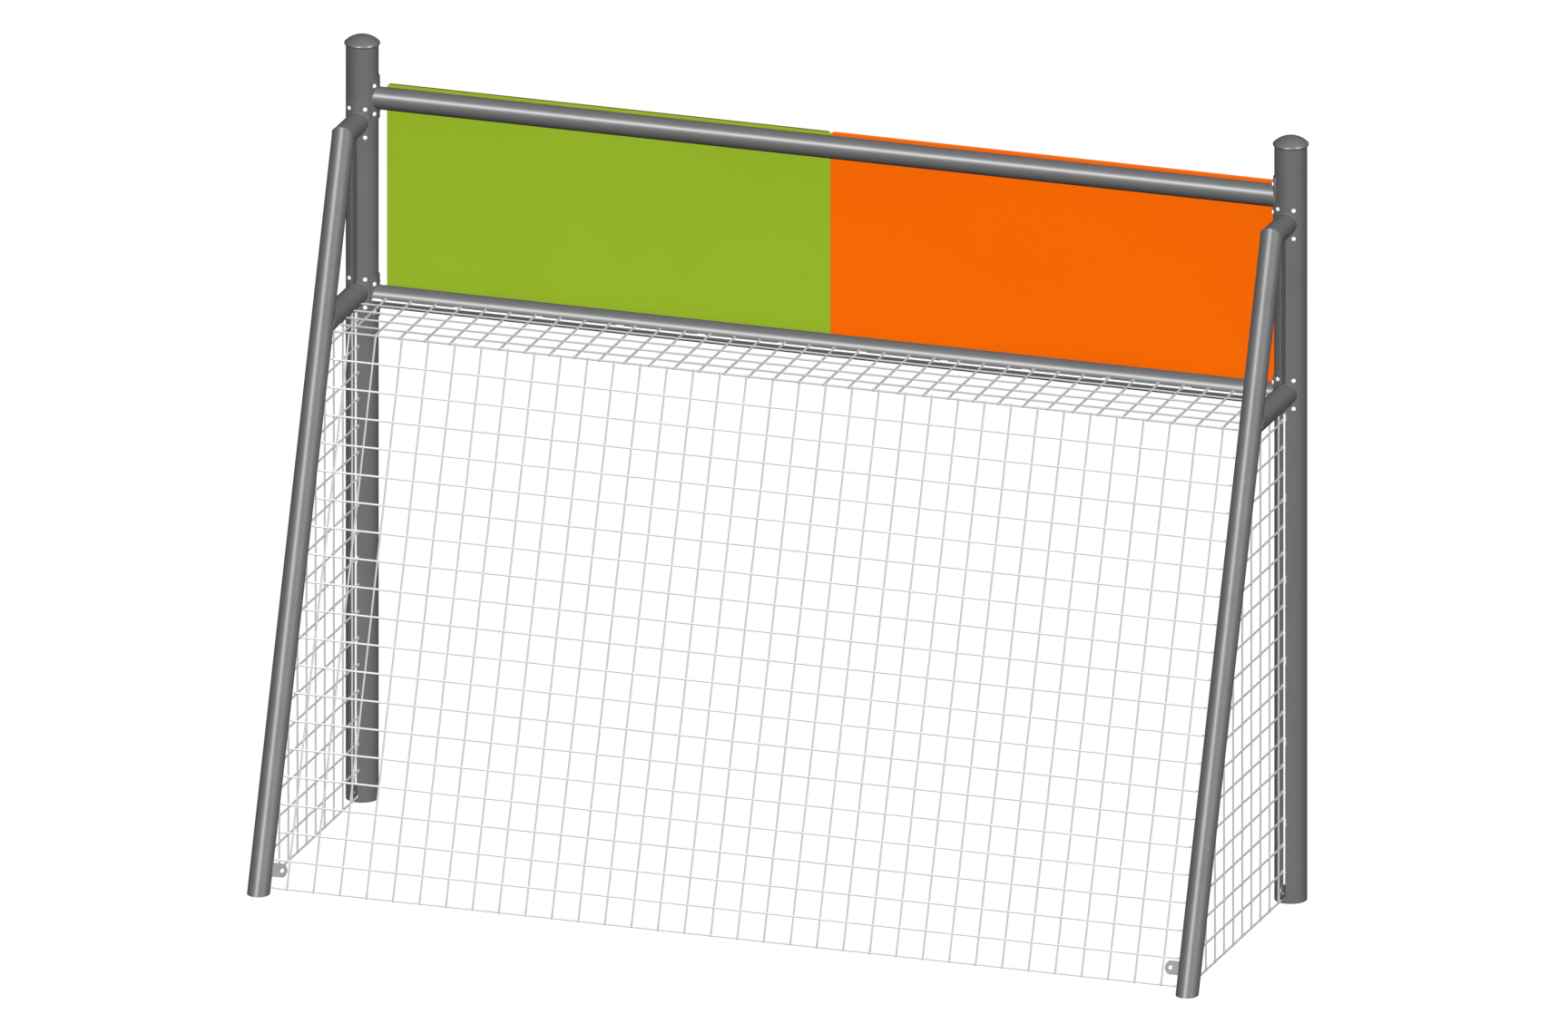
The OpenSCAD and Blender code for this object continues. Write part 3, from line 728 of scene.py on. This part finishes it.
for i, y in enumerate(ROOF_LINES):
    y += 0.0015
    marks = [x + line_half for x in depth_x]
    toned(m, "lines")
    woven(m, row(-line_half, y, ROOF_MID), X, 2 * line_half, Z, marks, -1 if i % 2 else 1)
    for side, s in SIDES:
        whipping(sleeves["roof"], row(s * line_half, y, ROOF_MID), X * s, "lines")
        eye(stub_hardware[side], row(s * (line_half + EYE_END), y, ROOF_MID), Z, X * s)
m.make("roof_net_ropes", ROPE, "net_rope", ("roof_net",))


# side nets
def col_y(k):
    return -0.1319 - MESH * k


def col_eye(k):
    if k < 3:
        return LOW_STUB - BR - EYE_OUT
    return (col_y(k) - EYE_OUT * math.cos(LEAN) - BR / math.cos(LEAN) + STRUT_BACK) / math.tan(LEAN) - EYE_OUT * math.sin(LEAN)


def row_z(j):
    return NET_LOW + 0.0012 + j * MESH


def row_eye(j):
    return strut_y(row_z(j)) + math.sqrt(BR ** 2 - (HALF - SIDE_MID) ** 2) / math.cos(LEAN) + EYE_OUT


SIDE_MID = (SIDE_ROW_X + SIDE_COL_X) / 2
POST_EYE = -(math.sqrt(PR ** 2 - (HALF - SIDE_MID) ** 2) + EYE_OUT)
for side, s in SIDES:
    m = Mesh()
    normal = X * s
    for j in range(ROWS_SIDE + 1):
        z = row_z(j)
        y0 = row_eye(j) + EYE_END
        y1 = POST_EYE - EYE_END if j == 0 else -0.065
        marks = [col_y(k) - y0 for k in range(9, -1, -1) if col_y(k) > y0 + 0.004 and col_eye(k) > z]
        toned(m, "side_rows")
        woven(m, row(SIDE_MID, y0, z, s), Y, y1 - y0, normal, marks, 1 if (j + len(marks)) % 2 else -1, 0.0, -LAY if j else 0.0,
              weave=j > 0, dome=0.0028 if j else 0.0)
        whipping(sleeves[side], row(SIDE_MID, y0, z, s), -Y, "side_rows")
        eye(hardware[side], row(SIDE_MID, row_eye(j), z, s), X, -Y)
        if j == 0:
            whipping(sleeves[side], row(SIDE_MID, y1, z, s), Y, "side_rows")
            eye(post_hardware[side], row(SIDE_MID, POST_EYE, z, s), X, Y)
    for k in range(10):
        z0, z1 = row_z(0), col_eye(k) - EYE_END
        marks = [row_z(j) - z0 for j in range(1, ROWS_SIDE + 1) if row_z(j) < z1 - 0.004]
        toned(m, "side_cols")
        woven(m, row(SIDE_MID, col_y(k), z0, s), Z, z1 - z0, normal, marks, 1 if k % 2 else -1)
        splice(tw, row(SIDE_MID, col_y(k), z0, s), Z, Y, "side_cols")
        whipping(sleeves[side], row(SIDE_MID, col_y(k), z1, s), Z, "side_cols")
        target = stub_hardware[side] if k < 3 else hardware[side]
        eye(target, row(SIDE_MID, col_y(k), col_eye(k), s), X, Z if k < 3 else Vector((0, -math.cos(LEAN), math.sin(LEAN))))
    m.make(f"{side}_net_ropes", ROPE, "net_rope", (f"{side}_net",))
tw.make("net_border_splices", TWINE, "net_rope")
for side, s in SIDES:
    hardware[side].make(f"{side}_strut_wire_eyes", WIRE, "eye_wire", (f"{side}_strut_eyes",))
    stub_hardware[side].make(f"{side}_stub_wire_eyes", WIRE, "eye_wire", (f"{side}_stub_eyes",))
    post_hardware[side].make(f"{side}_post_wire_eye", WIRE, "eye_wire", (f"{side}_post_eye",))
for name, mesh in sleeves.items():
    mesh.make(f"{name}_net_end_whippings", TWINE, "net_rope")


# open wire rings that hold the rope ends to the rods
def open_ring(m, centre, frame_matrix, turn0, turns=270):
    pts = []
    for k in range(21):
        a = math.radians(turn0 + turns * k / 20)
        pts.append(centre + frame_matrix @ Vector((TIE_R * math.cos(a), TIE_R * math.sin(a), 0)))
    m.tube(pts, TIE_W, sides=6, side_axis=frame_matrix @ Z, dome=0.0008)


def turned(ax, deg):
    return Matrix.Rotation(math.radians(deg), 3, ax)


for side, s in SIDES:
    m = Mesh()
    flip = Matrix(((s, 0, 0), (0, 1, 0), (0, 0, 1)))
    for j in range(1, ROWS_SIDE + 1):
        c = row((SIDE_ROW_X + HALF) / 2, ROD_Y, row_z(j), s)
        open_ring(m, c, flip @ turned("X", 45), 110)
    m.make(f"{side}_net_rings", WIRE, "eye_wire", (f"{side}_net_ties",))
m = Mesh()
for x in depth_x:
    c = row(abs(x), ROOF_ROD_Y, (ROOF_Z + ROOF_ROD_Z) / 2, 1 if x > 0 else -1)
    flip = Matrix((((1 if x > 0 else -1), 0, 0), (0, 1, 0), (0, 0, 1)))
    open_ring(m, c, flip @ turned("Z", 45) @ turned("X", 90), 5)
m.make("roof_net_rings", WIRE, "eye_wire", ("roof_net_ties",))

for o in bpy.data.objects:           # the studio alone is mirrored in the paint, as in the photo
    o.visible_glossy = False

# ---------- floor, lights, world, camera ----------

mesh = bpy.data.meshes.new("floor")
bm = bmesh.new()
bmesh.ops.create_grid(bm, x_segments=8, y_segments=8, size=45)
bm.to_mesh(mesh)
bm.free()
floor = bpy.data.objects.new("floor", mesh)
floor.location = (0, 0, -0.0005)
bpy.context.scene.collection.objects.link(floor)
fm = bpy.data.materials.new("floor")
fm.use_nodes = True
t = fm.node_tree
t.nodes.clear()
out = t.nodes.new("ShaderNodeOutputMaterial")
mix = t.nodes.new("ShaderNodeMixShader")
path_info = t.nodes.new("ShaderNodeLightPath")
seen = t.nodes.new("ShaderNodeAddShader")
diffuse = t.nodes.new("ShaderNodeBsdfDiffuse")
diffuse.inputs[0].default_value = (0.8, 0.8, 0.8, 1)
glow = t.nodes.new("ShaderNodeEmission")
glow.inputs[0].default_value = (1, 1, 1, 1)
glow.inputs[1].default_value = 0.05
dim = t.nodes.new("ShaderNodeEmission")
dim.inputs[0].default_value = (1, 1, 1, 1)
dim.inputs[1].default_value = 0.02
t.links.new(diffuse.outputs[0], seen.inputs[0])
t.links.new(glow.outputs[0], seen.inputs[1])
t.links.new(path_info.outputs["Is Camera Ray"], mix.inputs[0])
t.links.new(dim.outputs[0], mix.inputs[1])
t.links.new(seen.outputs[0], mix.inputs[2])
t.links.new(mix.outputs[0], out.inputs[0])
mesh.materials.append(fm)
floor.visible_diffuse = floor.visible_glossy = False      # it takes no light from the studio and adds none
floor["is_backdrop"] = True

def sun(name, towards, strength, angle):
    data = bpy.data.lights.new(name, "SUN")
    data.energy = strength
    data.angle = math.radians(angle)
    data.use_shadow = False
    o = bpy.data.objects.new(name, data)
    o.rotation_mode = "QUATERNION"
    o.rotation_quaternion = Vector(towards).to_track_quat("Z", "Y")
    o.location = Vector(towards) * 8
    bpy.context.scene.collection.objects.link(o)
    return o


sun("key", (-0.0738, -0.7970, 0.5994), 3.00, 4)
sun("side", (0.7723, -0.2394, 0.5885), 2.93, 4)
front = sun("front", (-0.3078, 0.8968, -0.3178), 3.0, 5)       # lights the pitch side only: it stands straight across from the camera
front.visible_glossy = False

world = bpy.data.worlds.new("studio")
bpy.context.scene.world = world
world.use_nodes = True
t = world.node_tree
t.nodes.clear()
out = t.nodes.new("ShaderNodeOutputWorld")
soft = t.nodes.new("ShaderNodeBackground")
plain = t.nodes.new("ShaderNodeBackground")
plain.inputs[0].default_value = (1, 1, 1, 1)
mix = t.nodes.new("ShaderNodeMixShader")
path_info = t.nodes.new("ShaderNodeLightPath")
where = t.nodes.new("ShaderNodeTexCoord")
split = t.nodes.new("ShaderNodeSeparateXYZ")
t.links.new(where.outputs["Generated"], split.inputs[0])


def wmath(op, a, b):
    n = t.nodes.new("ShaderNodeMath")
    n.operation = op
    for i, v in enumerate((a, b)):
        if isinstance(v, (int, float)):
            n.inputs[i].default_value = v
        else:
            t.links.new(v, n.inputs[i])
    return n.outputs[0]


total = None
for axis, sign, weight in ((0, 1, 0.0135), (0, -1, 0.0135), (1, 1, 0.0135), (1, -1, 0.2155), (2, 1, 0.048), (2, -1, 0.0)):
    lobe = wmath("ADD", wmath("MULTIPLY", split.outputs[axis], 0.5 * sign), 0.5)
    term = wmath("MULTIPLY", wmath("MULTIPLY", lobe, lobe), weight)
    total = term if total is None else wmath("ADD", total, term)
t.links.new(total, soft.inputs[1])
soft.inputs[0].default_value = (1, 1, 1, 1)
t.links.new(path_info.outputs["Is Camera Ray"], mix.inputs[0])
t.links.new(soft.outputs[0], mix.inputs[1])
t.links.new(plain.outputs[0], mix.inputs[2])
t.links.new(mix.outputs[0], out.inputs[0])

bpy.context.scene.view_settings.view_transform = "Standard"

AZ, EL = math.radians(18.945), math.radians(18.53)
right = Vector((math.cos(AZ), math.sin(AZ), 0))
up = Vector((-math.sin(EL) * math.sin(AZ), math.sin(EL) * math.cos(AZ), math.cos(EL)))
back = Vector((math.sin(AZ) * math.cos(EL), -math.cos(AZ) * math.cos(EL), math.sin(EL)))
cam_data = bpy.data.cameras.new("camera")
cam_data.type = "ORTHO"
cam_data.ortho_scale = 6.0213
cam_data.clip_start, cam_data.clip_end = 0.1, 200
cam = bpy.data.objects.new("camera", cam_data)
cam.matrix_world = Matrix((
    (right.x, up.x, back.x, 0), (right.y, up.y, back.y, 0), (right.z, up.z, back.z, 0), (0, 0, 0, 1)))
cam.location = Vector((0, PY, 0)) - right * 0.1632 + up * 1.3112 + back * 12
bpy.context.scene.collection.objects.link(cam)
bpy.context.scene.camera = cam

lo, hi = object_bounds()
